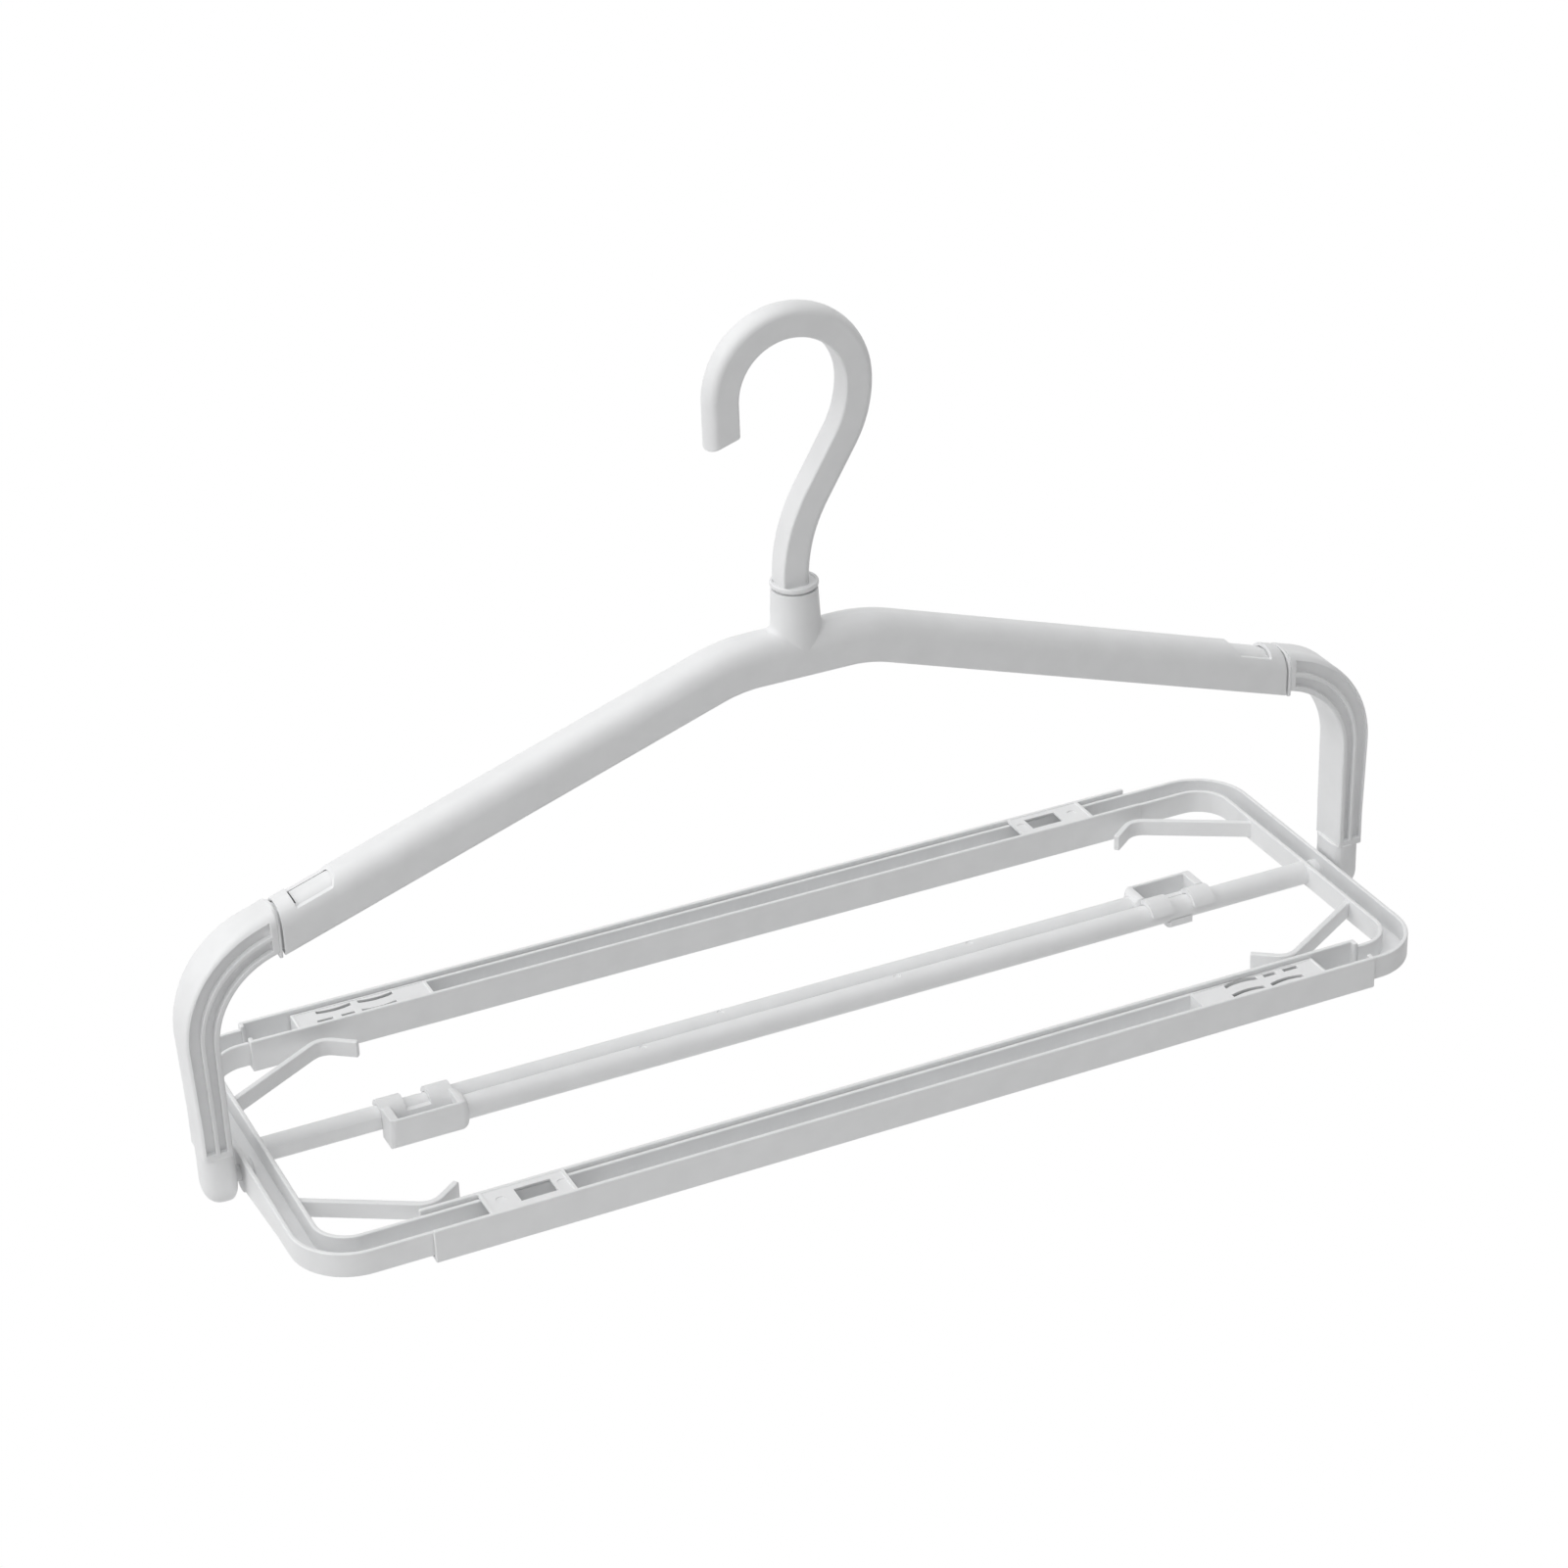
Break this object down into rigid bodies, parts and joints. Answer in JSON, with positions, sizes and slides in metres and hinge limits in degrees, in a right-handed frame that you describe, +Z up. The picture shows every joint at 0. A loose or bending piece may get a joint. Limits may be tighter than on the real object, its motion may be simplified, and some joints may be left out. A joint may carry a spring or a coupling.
{
  "type": "telescoping coat hanger",
  "caption": "Clothes hanger with a swivel hook, a beam with two arms that slide out of its ends, and a level drying frame of nested rails that widens with them and tilts between the arms.",
  "frame": {"origin": "top of the hook's inner curve, where the hanger rests on its pole, on the swivel axis", "axes": "+X along the beam towards the right arm, +Y towards the far rail, +Z up"},
  "size_m": [0.504, 0.17, 0.3086],
  "materials": {
    "hook_plastic": "satin white polypropylene",
    "hanger_plastic": "satin white polypropylene",
    "frame_plastic": "satin white polypropylene"
  },
  "bodies": {
    "hook": {"hook": "hook_plastic"},
    "beam": {"beam": "hanger_plastic"},
    "left_arm": {"left_arm": "hanger_plastic", "left_pivot_pin": "hanger_plastic"},
    "right_arm": {"right_arm": "hanger_plastic", "right_pivot_pin": "hanger_plastic"},
    "left_frame_half": {"left_bow": "frame_plastic", "left_sleeve_rail": "frame_plastic", "left_rail_tip": "frame_plastic", "left_centre_rod": "frame_plastic", "left_rod_clamp": "frame_plastic", "left_near_finger": "frame_plastic", "left_far_finger": "frame_plastic"},
    "right_frame_half": {"right_bow": "frame_plastic", "right_sleeve_rail": "frame_plastic", "right_rail_tip": "frame_plastic", "right_centre_rod": "frame_plastic", "right_rod_clamp": "frame_plastic", "right_near_finger": "frame_plastic", "right_far_finger": "frame_plastic"}
  },
  "joints": [
    {"name": "beam_swivel", "type": "hinge", "parent": "hook", "child": "beam", "pos_m": [0, 0, -0.1006], "axis": [0, 0, 1], "continuous": true},
    {"name": "left_arm_slide", "type": "slide", "parent": "beam", "child": "left_arm", "axis": [-0.9494, 0, -0.314], "range_m": [0, 0.135]},
    {"name": "right_arm_slide", "type": "slide", "parent": "beam", "child": "right_arm", "axis": [0.9494, 0, -0.314], "range_m": [0, 0.135]},
    {"name": "left_frame_tilt", "type": "hinge", "parent": "left_arm", "child": "left_frame_half", "pos_m": [-0.23822, 0, -0.28736], "axis": [1, 0, 0], "range_deg": [-90, 90]},
    {"name": "right_frame_tilt", "type": "hinge", "parent": "right_arm", "child": "right_frame_half", "pos_m": [0.23822, 0, -0.28736], "axis": [1, 0, 0], "range_deg": [-90, 90]}
  ],
  "couplings": [
    {"joint": "right_arm_slide", "follows": "left_arm_slide", "ratio": 1},
    {"joint": "right_frame_tilt", "follows": "left_frame_tilt", "ratio": 1}
  ]
}
